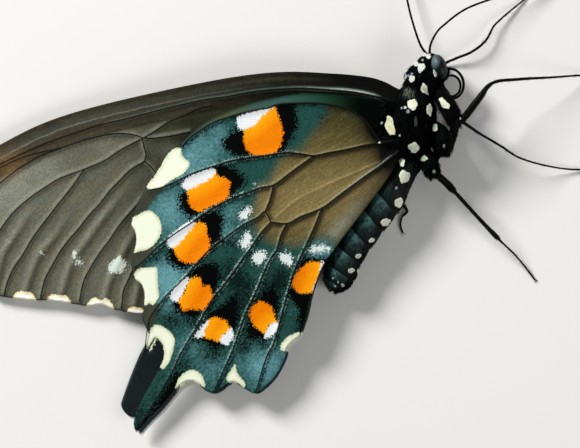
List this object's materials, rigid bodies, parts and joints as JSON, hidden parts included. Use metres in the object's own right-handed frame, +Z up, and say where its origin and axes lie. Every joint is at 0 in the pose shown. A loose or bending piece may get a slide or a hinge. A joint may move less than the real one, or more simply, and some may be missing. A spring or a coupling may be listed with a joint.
{
  "type": "butterfly specimen",
  "caption": "Dried swallowtail butterfly lying on its side with closed wings, teal hindwing with orange and cream spots, grey forewing, spotted black body",
  "frame": {"origin": "under the thorax, on the surface that the butterfly lies on", "axes": "+Z up, out of the right side of the butterfly; +Y towards the head and antennae; -X towards the wing tips; +X towards the legs"},
  "size_m": [0.0701, 0.0548, 0.0058],
  "materials": {
    "body_fur": "matte black fur with white scale spots",
    "abdomen_scales": "dark blue-green scales with a soft sheen",
    "eye": "glossy, finely faceted",
    "horn": "satin black horn with short bristles",
    "hindwing_scales": "teal scales with orange, cream and black spots, soft sheen",
    "forewing_scales": "grey-olive scales, matte, with dark veins"
  },
  "bodies": {
    "root": {"thorax": "body_fur", "head": "body_fur", "abdomen": "abdomen_scales", "right_eye": "eye", "left_eye": "eye", "right_palp": "body_fur", "left_palp": "body_fur", "proboscis": "horn", "right_antenna": "horn", "left_antenna": "horn", "right_foreleg": "horn", "right_midleg": "horn", "right_hindleg": "horn", "left_foreleg": "horn", "left_midleg": "horn", "left_hindleg": "horn", "right_hindwing": "hindwing_scales", "left_hindwing": "hindwing_scales", "right_forewing": "forewing_scales", "left_forewing": "forewing_scales"}
  },
  "joints": []
}
